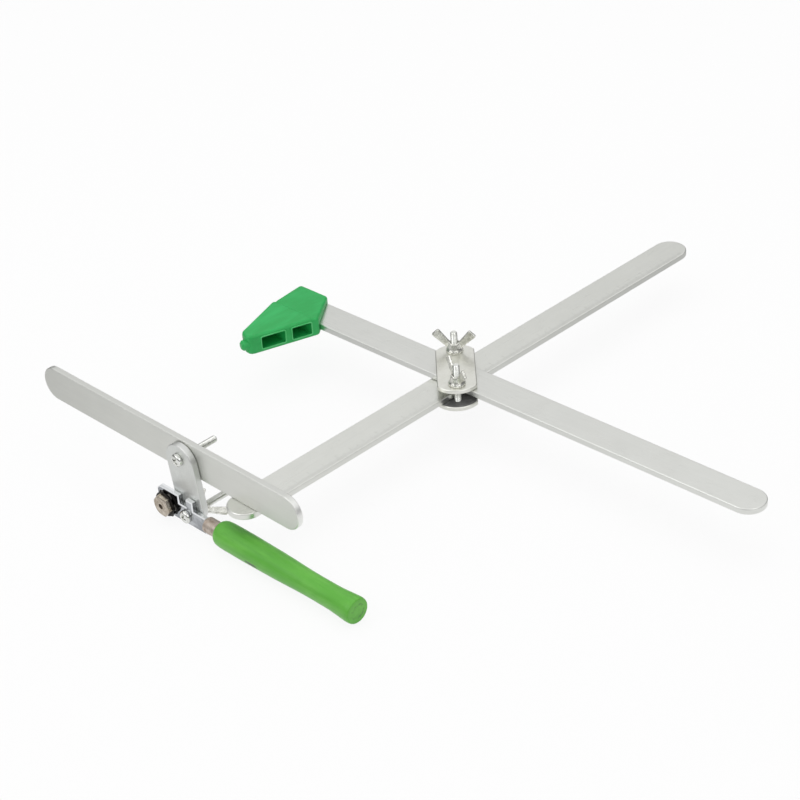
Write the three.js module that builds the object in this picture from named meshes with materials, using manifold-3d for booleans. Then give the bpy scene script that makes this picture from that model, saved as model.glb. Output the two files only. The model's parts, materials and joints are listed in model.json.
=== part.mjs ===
// Glass bottle cutter: two flat bars crossed in a wing-nut clamp, a fence with a swinging wheel cutter
// at the end of one bar, and a plastic bottle shoe at the end of the other.
// Millimetres. +Z is up, +X runs along the scale arm away from the fence, +Y runs towards the shoe.
// The origin is the centre of the clamp's underside, where the two bars cross.
import * as THREE from "three";
import { mergeVertices } from "three/addons/utils/BufferGeometryUtils.js";
import Module from "manifold-3d";

const wasm = await Module();
wasm.setup();

// Flat bar stock of both arms and the fence
const barWidth = 20;
const barThickness = 3.7;
const barEdgeBreak = 0.4;

// Clearances
const slideGap = 0.1; // between faces that slide or turn on each other
const holeGap = 0.25; // round a shank in its hole
const guideGap = 0.3; // between an arm's edge and the clamp bolts
const socketGap = 0.3; // round the cross arm in the shoe

// Arms, measured from the crossing
const scaleArmReach = 195.6;
const scaleArmTail = 168;
const crossArmReach = 208;
const crossArmInShoe = 126.5;
const crossArmAngle = 92.17; // direction of the shoe, degrees from +X

// Fence: a bar on edge across the scale arm
const fenceDistance = 159.2; // crossing to the fence's outer face
const fenceReach = 167;
const fenceTail = 43;
const fenceScrewPitch = 12;
const fenceScrewRadius = 1;
const fenceScrewHeadRadius = 1.9;
const fenceScrewHeadHeight = 1.1;
const fenceScrewLength = 12;
const fenceScrewTipGap = 0.6;

// Clamp plates and pad
const clampPlateWidth = 22;
const clampPlateLength = 49;
const clampPlateEndRise = 5.8;
const clampPlateThickness = 2.6;
const clampPlateEdgeBreak = 0.4;
const clampTurn = crossArmAngle / 2; // the plates' long axis halves the angle between the arms
const padThickness = 0.8;
const padInset = 0.6;
const dimpleRadius = 1.2;
const dimpleDepth = 0.5;
const dimpleAlong = -5;
const dimpleAcross = -4.2;

// M4 pan-head bolts
const boltRadius = 2;
const boltHeadRadius = 3.8;
const boltHeadHeight = 2.5;
const boltEndBreak = 0.4;
const clampBoltLength = 26;
const swingBoltLength = 26;
const cutterBoltLength = 35;
const panHeadShares = [[0.45, 1], [0.76, 0.88], [0.94, 0.62], [1, 0.3]]; // radius, height

// Wing nuts
const wingNutBaseRadius = 4.75;
const wingNutTopRadius = 3.3;
const wingNutHubHeight = 6;
const wingNutSkirtHeight = 1.3;
const wingNutTopBreak = 0.5;
const wingRootRadius = 2.4;
const wingRootHeight = 3.1;
const wingRootWidth = 3.4;
const wingTipRadius = 10.9;
const wingTipHeight = 12.1;
const wingTipWidth = 5.5;
const wingThickness = 1.8;
const wingCornerRadius = 0.9;
const wingEdgeBreak = 0.35;
const frontWingNutTurn = -21.5;
const rearWingNutTurn = 33.4;
const cutterWingNutTurn = -76.5;

// Lock nut on the swing bolt
const lockNutAcrossFlats = 7;
const lockNutHeight = 3.2;
const lockNutCollarRadius = 3.1;
const lockNutCollarHeight = 1.8;
const lockNutCollarBreak = 0.6;
const hexChamferShare = 0.12; // of the width across flats

// Swing plate, in front of the fence
const swingPivotAlong = 45.9; // from the scale arm's centre line
const swingPivotHeight = 10.2; // above the scale arm's top
const swingPivotSpacing = 32.9;
const swingPlateWidth = 22;
const swingPlateTopMargin = 8.8; // beyond the upper bolt
const swingPlateBottomMargin = 5.2;
const swingPlateThickness = 4;
const swingPlateEdgeBreak = 0.4;
const swingAngle = -9;

// Cutter head, from the cutter bolt's axis
const cutterAngle = 0;
const headThickness = 3.3;
const headEdgeBreak = 0.6;
const headTipReach = 23.2;
const headTipChamfer = 2.2;
const headTopHeight = 10.5;
const headBottomDepth = 5.2;
const notchStart = -0.2;
const notchWidth = 5.8;
const notchDepth = 5;
const toothWidth = 5.4;
const neckTopHeight = 4.9;
const neckEnd = 15.5;
const handleAxisHeight = 1; // the tang's and the handle's middle
const tangHeight = 5.6;
const tangLength = 24;

// Wheel turret
const turretReach = 14.5;
const turretRise = 2.6;
const carrierRadius = 7.2;
const carrierCoreRadius = 3.2;
const carrierFlange = 0.55;
const wheelCount = 6;
const wheelRadius = 2.2;
const wheelWidth = 1;
const wheelEdgeDepth = 0.45;
const wheelCircleRadius = 5.9;
const wheelPinRadius = 0.5;
const wheelGap = 0.3;
const turretScrewRadius = 1.75;
const turretHexAcrossFlats = 11.4;
const turretHexHeight = 2.7;
const turretHexTurn = 10;
const turretDimpleRadius = 1.6;
const turretDimpleDepth = 1.2;

// Ferrule and turned handle
const ferruleRadius = 4.5;
const ferruleBoreRadius = 3.5;
const ferruleLength = 13.1;
const ferruleInHandle = 2.6;
const ferruleEdgeBreak = 0.4;
const ferruleGap = 0.2;
const handleLength = 103.5;
const handleRadius = 7.6;
const handleBoreDepth = 18;
const handleProfileShares = [
  [0, 0.8], [0.01, 0.9], [0.028, 0.965], [0.07, 0.995], [0.14, 1], [0.22, 0.998], [0.33, 0.975],
  [0.46, 0.945], [0.58, 0.885], [0.68, 0.85], [0.78, 0.852], [0.85, 0.862], [0.91, 0.92], [0.955, 0.965],
  [0.98, 0.975], [0.993, 0.95], [1, 0.9],
]; // length, radius

// Bottle shoe, in the cross arm's own directions
const shoeSideWall = 1.5;
const shoeEndWall = 7.4;
const shoeFloor = 2.2;
const shoeHeight = 12;
const shoeShortSide = 22.4;
const shoeLongSide = 38.2;
const shoeNoseReach = 53.2;
const shoeNoseNearSetback = 22.1;
const shoeNoseFarSetback = 14.8;
const shoeNoseSlant = 3;
const shoeShoulderSetback = 3.7; // where the end wall turns into the nose
const shoeShoulderPlace = 12;
const shoeSocketSlope = 2; // how far the socket's top falls from the step to the side wall
const shoeStep = 1;
const shoeStepHeight = 0.5;
const shoeStepPlace = 13.4;
const shoeCornerRadius = 2.2;
const shoeTipRadius = 4;
const shoeFillet = 1.8;
const shoeWall = 2;
const shoePocketFloor = 2.4;
const shoeRoof = 1.5;
const shoeRib = 3.6;
const shoeRibPlace = 29.4;
const shoePocketInner = 15.8;
const shoePocketOuter = 45.5;
const shoePocketCorner = 1;
const shoeNubRadius = 3.1;
const shoeNubLength = 3;
const shoeNubRound = 1.1;
const shoeNubHeight = 5.9;

const overrun = 5; // how far every cutter stands past what it cuts
const weld = 1e-4; // vertices closer than this are one

// Facet counts
const roundSteps = 24;
const smallSteps = 16;
const endArcSteps = 20;
const cornerSteps = 3;
const handleSteps = 28;
const handleRings = 26;

// Heights and layers that follow from the sizes above
const padTop = clampPlateThickness + padThickness;
const scaleArmBase = padTop + slideGap;
const scaleArmTop = scaleArmBase + barThickness;
const crossArmBase = scaleArmTop + slideGap;
const crossArmTop = crossArmBase + barThickness;
const topPlateBase = crossArmTop + slideGap;
const topPlateTop = topPlateBase + clampPlateThickness;
const clampBoltOffset = (barWidth / 2 + boltRadius + guideGap) * Math.SQRT2;
const boltHoleRadius = boltRadius + holeGap;

const radians = THREE.MathUtils.degToRad;

const finishes = {
  bar: new THREE.MeshStandardMaterial({ color: 0xccccc8, roughness: 0.42, metalness: 1 }),
  fence: new THREE.MeshStandardMaterial({ color: 0xc4c5c1, roughness: 0.45, metalness: 1 }),
  plate: new THREE.MeshStandardMaterial({ color: 0xbebfb6, roughness: 0.38, metalness: 1 }),
  zinc: new THREE.MeshStandardMaterial({ color: 0xd2d3cd, roughness: 0.25, metalness: 1 }),
  castZinc: new THREE.MeshStandardMaterial({ color: 0xc6c7b8, roughness: 0.5, metalness: 1 }),
  chrome: new THREE.MeshStandardMaterial({ color: 0xc2c6cb, roughness: 0.14, metalness: 1 }),
  bronze: new THREE.MeshStandardMaterial({ color: 0xa8988a, roughness: 0.35, metalness: 1 }),
  blackSteel: new THREE.MeshStandardMaterial({ color: 0x1c1b19, roughness: 0.4, metalness: 0.7 }),
  wheelSteel: new THREE.MeshStandardMaterial({ color: 0x5a5a58, roughness: 0.25, metalness: 1 }),
  rubber: new THREE.MeshStandardMaterial({ color: 0x2b2b2d, roughness: 0.85, metalness: 0 }),
  ferrule: new THREE.MeshStandardMaterial({ color: 0xb5a79a, roughness: 0.4, metalness: 0.9 }),
  greenWood: new THREE.MeshStandardMaterial({ color: 0x54a52f, roughness: 0.35, metalness: 0 }),
  greenPlastic: new THREE.MeshStandardMaterial({ color: 0x34b060, roughness: 0.5, metalness: 0 }),
};

// A closed geometry as a solid that can be joined and cut.
function solidOf(geometry) {
  const bare = geometry.clone();
  bare.deleteAttribute("normal");
  bare.deleteAttribute("uv");
  const merged = mergeVertices(bare, weld);
  const mesh = new wasm.Mesh({
    numProp: 3,
    vertProperties: new Float32Array(merged.attributes.position.array),
    triVerts: new Uint32Array(merged.index.array),
  });
  return new wasm.Manifold(mesh);
}

// A solid as a flat-shaded geometry.
function geometryOf(solid) {
  const mesh = solid.getMesh();
  const geometry = new THREE.BufferGeometry();
  geometry.setAttribute("position", new THREE.BufferAttribute(mesh.vertProperties, 3));
  geometry.setIndex(new THREE.BufferAttribute(mesh.triVerts, 1));
  const flat = geometry.toNonIndexed();
  flat.computeVertexNormals();
  return flat;
}

function cut(body, ...tools) {
  return geometryOf(tools.reduce((solid, tool) => solid.subtract(solidOf(tool)), solidOf(body)));
}

function join(first, ...others) {
  return geometryOf(others.reduce((solid, other) => solid.add(solidOf(other)), solidOf(first)));
}

function intersect(first, second) {
  return geometryOf(solidOf(first).intersect(solidOf(second)));
}

// Quarter turns that change no coordinate's value.
const axes = { x: new THREE.Vector3(1, 0, 0), y: new THREE.Vector3(0, 1, 0), z: new THREE.Vector3(0, 0, 1) };
const plateAcrossX = new THREE.Matrix4().makeBasis(axes.y, axes.z, axes.x); // drawn x, y, depth to Y, Z, X
const turnedAlongX = new THREE.Matrix4().makeBasis(axes.z, axes.x, axes.y); // a turned piece's axis to X
const turnedAlongZ = new THREE.Matrix4().makeBasis(axes.y, axes.z, axes.x); // a turned piece's axis to Z

function laid(geometry, matrix) {
  return geometry.clone().applyMatrix4(matrix);
}

function moved(geometry, x, y, z) {
  return geometry.clone().translate(x, y, z);
}

// A plate from z = 0 to its thickness, with all its edges broken by the same small amount.
function plate(points, thickness, edgeBreak, steps = 1) {
  const geometry = new THREE.ExtrudeGeometry(new THREE.Shape(points), {
    depth: thickness - 2 * edgeBreak,
    bevelEnabled: edgeBreak > 0,
    bevelThickness: edgeBreak,
    bevelSize: edgeBreak,
    bevelOffset: -edgeBreak,
    bevelSegments: steps,
  });
  return geometry.translate(0, 0, edgeBreak);
}

// A plate whose top falls evenly from one y to another, over a flat underside.
function sloped(geometry, from, to, drop, height) {
  const result = geometry.clone();
  const position = result.attributes.position;
  for (let i = 0; i < position.count; i += 1) {
    const share = THREE.MathUtils.clamp((from - position.getY(i)) / (from - to), 0, 1);
    position.setZ(i, position.getZ(i) * (1 - (share * drop) / height));
  }
  return result;
}

// A piece turned from a profile of radius and height.
function turned(profile, steps = roundSteps) {
  return new THREE.LatheGeometry(profile.map(([radius, height]) => new THREE.Vector2(radius, height)), steps);
}

// A round cutter or pin between two heights, standing on the turned pieces' axis.
function rod(radius, from, to, steps = roundSteps) {
  return turned([[0, from], [radius, from], [radius, to], [0, to]], steps);
}

// A round cutter down the depth of a drawn plate.
function drill(radius, x, y, from, to, steps = roundSteps) {
  return moved(laid(rod(radius, from, to, steps), turnedAlongZ), x, y, 0);
}

function arc(x, y, radius, from, to, steps) {
  return Array.from({ length: steps + 1 }, (_, i) => {
    const angle = from + ((to - from) * i) / steps;
    return new THREE.Vector2(x + radius * Math.cos(angle), y + radius * Math.sin(angle));
  });
}

// A bar's outline along X with full round ends.
function barOutline(from, to, width) {
  const radius = width / 2;
  return [
    ...arc(to - radius, 0, radius, -Math.PI / 2, Math.PI / 2, endArcSteps),
    ...arc(from + radius, 0, radius, Math.PI / 2, 1.5 * Math.PI, endArcSteps),
  ];
}

// A closed outline through [x, y, radius] corners, each rounded by its own radius.
function roundedOutline(corners, steps = cornerSteps) {
  return corners.flatMap(([x, y, radius], i) => {
    const corner = new THREE.Vector2(x, y);
    if (!radius) return [corner];
    const [beforeX, beforeY] = corners.at(i - 1);
    const [afterX, afterY] = corners[(i + 1) % corners.length];
    const before = new THREE.Vector2(beforeX, beforeY).sub(corner).normalize();
    const after = new THREE.Vector2(afterX, afterY).sub(corner).normalize();
    const half = before.angleTo(after) / 2;
    const setback = radius / Math.tan(half);
    const centre = before.clone().add(after).normalize().multiplyScalar(radius / Math.sin(half)).add(corner);
    const start = before.clone().multiplyScalar(setback).add(corner).sub(centre).angle();
    const end = after.clone().multiplyScalar(setback).add(corner).sub(centre).angle();
    const sweep = Math.atan2(Math.sin(end - start), Math.cos(end - start));
    return arc(centre.x, centre.y, radius, start, start + sweep, steps);
  });
}

function hexOutline(acrossFlats) {
  const radius = acrossFlats / Math.sqrt(3);
  return arc(0, 0, radius, 0, (5 * Math.PI) / 3, 5);
}

function piece(name, geometry, material) {
  const mesh = new THREE.Mesh(geometry, material);
  mesh.name = name;
  return mesh;
}

function placed(object, x, y, z) {
  object.position.set(x, y, z);
  return object;
}

// A pan-head bolt on the turned axis: the head's seat is at 0 and the shank rises from it.
function panBolt(length) {
  return turned([
    [0, -boltHeadHeight],
    ...panHeadShares.map(([radius, height]) => [boltHeadRadius * radius, -boltHeadHeight * height]),
    [boltHeadRadius, 0],
    [boltRadius, 0],
    [boltRadius, length - boltEndBreak],
    [boltRadius - boltEndBreak, length],
    [0, length],
  ]);
}

// A cast wing nut on the turned axis, standing on 0, with its wings to both sides.
function wingNut() {
  const hub = turned([
    [0, 0],
    [wingNutBaseRadius, 0],
    [wingNutBaseRadius, wingNutSkirtHeight],
    [(wingNutBaseRadius + wingNutTopRadius) / 2, 2 * wingNutSkirtHeight],
    [wingNutTopRadius, wingNutHubHeight - wingNutTopBreak],
    [wingNutTopRadius - wingNutTopBreak, wingNutHubHeight],
    [0, wingNutHubHeight],
  ]);
  const root = new THREE.Vector2(wingRootRadius, wingRootHeight);
  const tip = new THREE.Vector2(wingTipRadius, wingTipHeight);
  const across = tip.clone().sub(root).normalize().rotateAround(new THREE.Vector2(), Math.PI / 2);
  const corner = (end, width, radius) => [end.x + across.x * width, end.y + across.y * width, radius];
  const outline = roundedOutline([
    corner(root, -wingRootWidth / 2, 0),
    corner(tip, -wingTipWidth / 2, wingCornerRadius),
    corner(tip, wingTipWidth / 2, wingCornerRadius),
    corner(root, wingRootWidth / 2, 0),
  ]);
  const wing = plate(outline, wingThickness, wingEdgeBreak).translate(0, 0, -wingThickness / 2);
  const opposite = wing.clone().rotateY(Math.PI);
  const body = join(hub, wing, opposite);
  return cut(body, rod(boltHoleRadius, -overrun, wingNutHubHeight + overrun));
}

// A hexagon on the turned axis with both ends' corners turned off.
function hexBlock(acrossFlats, height) {
  const corner = acrossFlats / Math.sqrt(3);
  const chamfer = acrossFlats * hexChamferShare;
  const rise = chamfer / 2;
  const hex = laid(plate(hexOutline(acrossFlats), height, 0), turnedAlongX);
  const round = turned([
    [0, 0],
    [corner, 0],
    [corner, height - rise],
    [corner - chamfer, height],
    [0, height],
  ]);
  return intersect(hex, round);
}

// Arms and fence

const fenceScrewSides = [-fenceScrewPitch / 2, fenceScrewPitch / 2];
const fenceMiddle = barThickness / 2 - fenceDistance;

function fenceScrew() {
  return turned([
    [0, 0],
    [fenceScrewHeadRadius, 0],
    [fenceScrewRadius, fenceScrewHeadHeight],
    [fenceScrewRadius, fenceScrewLength],
    [0, fenceScrewLength],
  ], smallSteps);
}

function countersink() {
  return turned([
    [0, -overrun],
    [fenceScrewHeadRadius + holeGap, -overrun],
    [fenceScrewHeadRadius + holeGap, 0],
    [fenceScrewRadius + holeGap, fenceScrewHeadHeight],
    [fenceScrewRadius + holeGap, barThickness + overrun],
    [0, barThickness + overrun],
  ], smallSteps);
}

function scaleArm() {
  const bar = plate(barOutline(-scaleArmTail, scaleArmReach, barWidth), barThickness, barEdgeBreak);
  const sinks = fenceScrewSides.map((y) => moved(laid(countersink(), turnedAlongZ), fenceMiddle, y, 0));
  return piece("scale_arm", cut(bar, ...sinks), finishes.bar);
}

function fence() {
  const bar = plate(barOutline(-fenceTail, fenceReach, barWidth), barThickness, barEdgeBreak);
  const pivotHeight = swingPivotHeight - barWidth / 2;
  const pivotHole = drill(boltHoleRadius, swingPivotAlong, pivotHeight, -overrun, barThickness + overrun);
  const screwDepth = fenceScrewLength - barThickness + fenceScrewTipGap;
  const screwHoles = fenceScrewSides.map((y) => moved(
    laid(rod(fenceScrewRadius + holeGap, -overrun, screwDepth, smallSteps), turnedAlongZ),
    barThickness / 2, y, -barWidth / 2,
  ));
  const standing = laid(cut(bar, pivotHole), plateAcrossX);
  return piece("fence", cut(standing, ...screwHoles), finishes.fence);
}

function crossArm() {
  const half = barWidth / 2;
  const outline = [
    new THREE.Vector2(crossArmInShoe, -half),
    new THREE.Vector2(crossArmInShoe, half),
    ...arc(half - crossArmReach, 0, half, Math.PI / 2, 1.5 * Math.PI, endArcSteps),
  ];
  return piece("cross_arm", plate(outline, barThickness, barEdgeBreak), finishes.bar);
}

// Bottle shoe: drawn in the cross arm's plane, x along the arm and y towards the fence

function shoe() {
  const socketHalf = barWidth / 2 + socketGap;
  const side = socketHalf + shoeSideWall;
  const end = crossArmInShoe + socketGap + shoeEndWall;
  const mouthNear = new THREE.Vector2(end - shoeLongSide, side);
  const tipNear = new THREE.Vector2(end - shoeNoseNearSetback, shoeNoseReach);
  const tipFar = new THREE.Vector2(end - shoeNoseFarSetback, shoeNoseReach - shoeNoseSlant);
  const endFar = new THREE.Vector2(end - shoeShoulderSetback, shoeShoulderPlace);
  const alongEdge = (a, b, y) => a.x + ((b.x - a.x) * (y - a.y)) / (b.y - a.y);
  const nearAt = (y) => alongEdge(mouthNear, tipNear, y);
  const farAt = (y) => alongEdge(endFar, tipFar, y);

  const blockEnd = shoeStepPlace + 2 * shoeFillet;
  const block = sloped(plate(roundedOutline([
    [end - shoeShortSide, -side, shoeCornerRadius],
    [end, -side, shoeCornerRadius],
    [endFar.x, endFar.y, shoeCornerRadius],
    [farAt(blockEnd), blockEnd, 0],
    [nearAt(blockEnd), blockEnd, 0],
    [mouthNear.x, mouthNear.y, shoeCornerRadius],
  ]), shoeHeight, shoeFillet, cornerSteps), shoeStepPlace, -side, shoeSocketSlope, shoeHeight);

  // The nose is moulded a little taller and wider than the socket round the arm.
  const nose = plate(roundedOutline([
    [nearAt(shoeStepPlace), shoeStepPlace, shoeCornerRadius],
    [farAt(shoeStepPlace) + shoeStep, shoeStepPlace, shoeCornerRadius],
    [tipFar.x + shoeStep, tipFar.y, shoeTipRadius],
    [tipNear.x, tipNear.y, shoeTipRadius],
  ]), shoeHeight + shoeStepHeight, shoeFillet, cornerSteps);

  const tipMiddle = tipNear.clone().add(tipFar).divideScalar(2);
  const tipTurn = tipFar.clone().sub(tipNear).angle();
  const nub = turned([
    [0, -shoeWall],
    [shoeNubRadius, -shoeWall],
    [shoeNubRadius, shoeNubLength - shoeNubRound],
    [shoeNubRadius - shoeNubRound, shoeNubLength],
    [0, shoeNubLength],
  ]).rotateZ(tipTurn).translate(tipMiddle.x, tipMiddle.y, shoeNubHeight);

  const socket = plate([
    new THREE.Vector2(end - shoeLongSide - overrun, -socketHalf),
    new THREE.Vector2(crossArmInShoe + socketGap, -socketHalf),
    new THREE.Vector2(crossArmInShoe + socketGap, socketHalf),
    new THREE.Vector2(end - shoeLongSide - overrun, socketHalf),
  ], barThickness + 2 * socketGap, 0).translate(0, 0, shoeFloor);

  const pocket = (inner, outer) => plate(roundedOutline([
    [nearAt(inner) - overrun, inner, 0],
    [farAt(inner) - shoeWall, inner, shoePocketCorner],
    [farAt(outer) - shoeWall, outer, shoePocketCorner],
    [nearAt(outer) - overrun, outer, 0],
  ]), shoeHeight - shoePocketFloor - shoeRoof, 0).translate(0, 0, shoePocketFloor);

  const solid = cut(
    join(block, nose, nub),
    socket,
    pocket(shoePocketInner, shoeRibPlace - shoeRib / 2),
    pocket(shoeRibPlace + shoeRib / 2, shoePocketOuter),
  );
  return piece("tip_shoe", solid, finishes.greenPlastic);
}

function crossArmGroup() {
  const group = new THREE.Group();
  group.rotation.z = radians(crossArmAngle);
  group.add(placed(crossArm(), 0, 0, crossArmBase));
  group.add(placed(shoe(), 0, 0, crossArmBase - socketGap - shoeFloor));
  return group;
}

// Clamp: two plates, a pad and two bolts with wing nuts

function clampOutline(inset) {
  const half = clampPlateWidth / 2;
  const radius = (half ** 2 + clampPlateEndRise ** 2) / (2 * clampPlateEndRise);
  const centre = clampPlateLength / 2 - radius;
  const sweep = Math.asin((half - inset) / (radius - inset));
  return [
    ...arc(centre, 0, radius - inset, -sweep, sweep, endArcSteps),
    ...arc(-centre, 0, radius - inset, Math.PI - sweep, Math.PI + sweep, endArcSteps),
  ];
}

function clampPlate(name, inset, thickness, edgeBreak, material, ...extraCuts) {
  const holes = [-clampBoltOffset, clampBoltOffset].map(
    (x) => drill(boltHoleRadius, x, 0, -overrun, thickness + overrun),
  );
  return piece(name, cut(plate(clampOutline(inset), thickness, edgeBreak), ...holes, ...extraCuts), material);
}

function clampGroup() {
  const group = new THREE.Group();
  group.rotation.z = radians(clampTurn);
  const topDimple = drill(
    dimpleRadius, dimpleAlong, dimpleAcross, clampPlateThickness - dimpleDepth, clampPlateThickness + overrun,
    smallSteps,
  );
  group.add(
    clampPlate("clamp_bottom_plate", 0, clampPlateThickness, clampPlateEdgeBreak, finishes.plate),
    placed(clampPlate("clamp_pad", padInset, padThickness, 0, finishes.rubber), 0, 0, clampPlateThickness),
    placed(
      clampPlate("clamp_top_plate", 0, clampPlateThickness, clampPlateEdgeBreak, finishes.plate, topDimple),
      0, 0, topPlateBase,
    ),
  );
  const stations = [
    ["front", -clampBoltOffset, frontWingNutTurn],
    ["rear", clampBoltOffset, rearWingNutTurn],
  ];
  for (const [side, x, turn] of stations) {
    const bolt = piece(`clamp_bolt_${side}`, laid(panBolt(clampBoltLength), turnedAlongZ), finishes.zinc);
    const nut = piece(`clamp_wing_nut_${side}`, laid(wingNut(), turnedAlongZ), finishes.castZinc);
    nut.rotation.z = radians(turn - clampTurn);
    group.add(placed(bolt, x, 0, 0), placed(nut, x, 0, topPlateTop));
  }
  return group;
}

// Swing plate, cutter and turret. Their groups stand on the face behind them, so x runs out from it.

function swingPlate() {
  const outline = barOutline(-swingPivotSpacing - swingPlateBottomMargin, swingPlateTopMargin, swingPlateWidth)
    .map((point) => new THREE.Vector2(-point.y, point.x));
  const bare = plate(outline, swingPlateThickness, swingPlateEdgeBreak);
  const holes = [0, -swingPivotSpacing].map(
    (y) => drill(boltHoleRadius, 0, y, -overrun, swingPlateThickness + overrun),
  );
  const across = laid(cut(bare, ...holes), plateAcrossX);
  return placed(piece("swing_plate", across, finishes.plate), -swingPlateThickness, 0, 0);
}

function cutterHead() {
  const notchFloor = headTopHeight - notchDepth;
  const toothEnd = notchStart - toothWidth;
  const outline = roundedOutline([
    [-neckEnd, -headBottomDepth, 0],
    [headTipReach - headTipChamfer, -headBottomDepth, 0],
    [headTipReach, headTipChamfer - headBottomDepth, 0],
    [headTipReach, headTopHeight - headTipChamfer, 0],
    [headTipReach - headTipChamfer, headTopHeight, 0],
    [notchStart + notchWidth, headTopHeight, 0],
    [notchStart + notchWidth, notchFloor, 0],
    [notchStart, notchFloor, 0],
    [notchStart, headTopHeight, 0],
    [toothEnd, headTopHeight, 0],
    [toothEnd, neckTopHeight, 0],
    [-neckEnd, neckTopHeight, 0],
    [-neckEnd, handleAxisHeight + tangHeight / 2, 0],
    [-neckEnd - tangLength, handleAxisHeight + tangHeight / 2, 0],
    [-neckEnd - tangLength, handleAxisHeight - tangHeight / 2, 0],
    [-neckEnd, handleAxisHeight - tangHeight / 2, 0],
  ]);
  const bare = plate(outline, headThickness, headEdgeBreak);
  const pivotHole = drill(boltHoleRadius, 0, 0, -overrun, headThickness + overrun);
  const turretHole = drill(
    turretScrewRadius + holeGap, turretReach, turretRise, -overrun, headThickness + overrun,
  );
  const across = laid(cut(bare, pivotHole, turretHole), plateAcrossX);
  return placed(piece("cutter_head", across, finishes.chrome), -headThickness, 0, 0);
}

const carrierWidth = 2 * (carrierFlange + wheelGap) + wheelWidth;

// Two flanges on a core, with a pin across the groove for each wheel.
function turretCarrier() {
  const bore = turretScrewRadius + holeGap;
  const disc = turned([
    [bore, 0],
    [carrierRadius, 0],
    [carrierRadius, carrierFlange],
    [carrierCoreRadius, carrierFlange],
    [carrierCoreRadius, carrierWidth - carrierFlange],
    [carrierRadius, carrierWidth - carrierFlange],
    [carrierRadius, carrierWidth],
    [bore, carrierWidth],
    [bore, 0],
  ], 2 * roundSteps);
  const pins = wheelAngles.map((angle) => moved(
    rod(wheelPinRadius, carrierFlange / 2, carrierWidth - carrierFlange / 2, smallSteps),
    wheelCircleRadius * Math.sin(angle), 0, wheelCircleRadius * Math.cos(angle),
  ));
  return piece("turret_carrier", laid(join(disc, ...pins), turnedAlongX), finishes.blackSteel);
}

const wheelAngles = Array.from({ length: wheelCount }, (_, i) => (2 * Math.PI * i) / wheelCount);

function scoringWheel(angle, i) {
  const bore = wheelPinRadius + wheelGap;
  const half = wheelWidth / 2;
  const wheel = turned([
    [bore, -half],
    [wheelRadius - wheelEdgeDepth, -half],
    [wheelRadius, 0],
    [wheelRadius - wheelEdgeDepth, half],
    [bore, half],
    [bore, -half],
  ]);
  return placed(
    piece(`scoring_wheel_${i + 1}`, laid(wheel, turnedAlongX), finishes.wheelSteel),
    carrierWidth / 2, wheelCircleRadius * Math.cos(angle), wheelCircleRadius * Math.sin(angle),
  );
}

function turretScrew() {
  const head = hexBlock(turretHexAcrossFlats, turretHexHeight).rotateX(Math.PI).rotateY(radians(turretHexTurn));
  const shankEnd = slideGap + carrierWidth + slideGap + headThickness - headEdgeBreak;
  const shank = rod(turretScrewRadius, -turretHexHeight / 2, shankEnd);
  const dimple = rod(turretDimpleRadius, -turretHexHeight - overrun, turretDimpleDepth - turretHexHeight);
  const screw = laid(cut(join(head, shank), dimple), turnedAlongX);
  return placed(piece("turret_screw", screw, finishes.bronze), -slideGap, 0, 0);
}

function turretGroup() {
  const group = new THREE.Group();
  group.add(turretCarrier(), turretScrew(), ...wheelAngles.map(scoringWheel));
  return placed(group, -headThickness - slideGap - carrierWidth, turretReach, turretRise);
}

// The ferrule and the handle are turned along y, with their front ends at 0.

function ferrule() {
  const sleeve = turned([
    [ferruleBoreRadius, -ferruleLength],
    [ferruleRadius, -ferruleLength],
    [ferruleRadius, -ferruleEdgeBreak],
    [ferruleRadius - ferruleEdgeBreak, 0],
    [ferruleBoreRadius, 0],
    [ferruleBoreRadius, -ferruleLength],
  ]);
  return piece("ferrule", sleeve, finishes.ferrule);
}

function handle() {
  const surface = new THREE.SplineCurve(handleProfileShares.map(
    ([along, across]) => new THREE.Vector2(handleRadius * across, -handleLength * along),
  )).getPoints(handleRings).reverse();
  const seat = ferruleRadius + ferruleGap;
  const body = turned([
    [0, -handleLength],
    ...surface.map((point) => [point.x, point.y]),
    [seat, 0],
    [seat, -ferruleInHandle - ferruleGap],
    [ferruleBoreRadius, -ferruleInHandle - ferruleGap],
    [ferruleBoreRadius, -handleBoreDepth],
    [0, -handleBoreDepth],
  ], handleSteps);
  return piece("handle", body, finishes.greenWood);
}

function cutterGroup() {
  const group = new THREE.Group();
  group.rotation.x = radians(cutterAngle - swingAngle);
  const ferruleFront = -neckEnd - socketGap;
  const handleFront = ferruleFront - ferruleLength + ferruleInHandle;
  group.add(
    cutterHead(),
    turretGroup(),
    placed(ferrule(), -headThickness / 2, ferruleFront, handleAxisHeight),
    placed(handle(), -headThickness / 2, handleFront, handleAxisHeight),
  );
  return placed(group, -swingPlateThickness - slideGap, 0, -swingPivotSpacing);
}

function swingGroup() {
  const group = new THREE.Group();
  group.rotation.x = radians(swingAngle);
  const boltSeat = -swingPlateThickness - slideGap - headThickness - slideGap;
  const bolt = piece("cutter_bolt", laid(panBolt(cutterBoltLength), turnedAlongX), finishes.zinc);
  const nut = piece("cutter_wing_nut", laid(wingNut(), turnedAlongX), finishes.castZinc);
  nut.rotation.x = radians(cutterWingNutTurn - swingAngle);
  group.add(
    swingPlate(),
    placed(bolt, boltSeat, 0, -swingPivotSpacing),
    placed(nut, slideGap, 0, -swingPivotSpacing),
    cutterGroup(),
  );
  return placed(group, -fenceDistance - slideGap, swingPivotAlong, scaleArmTop + swingPivotHeight);
}

function swingBolt() {
  const seat = -fenceDistance - slideGap - swingPlateThickness - slideGap;
  const bolt = piece("swing_bolt", laid(panBolt(swingBoltLength), turnedAlongX), finishes.zinc);
  return placed(bolt, seat, swingPivotAlong, scaleArmTop + swingPivotHeight);
}

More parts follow.
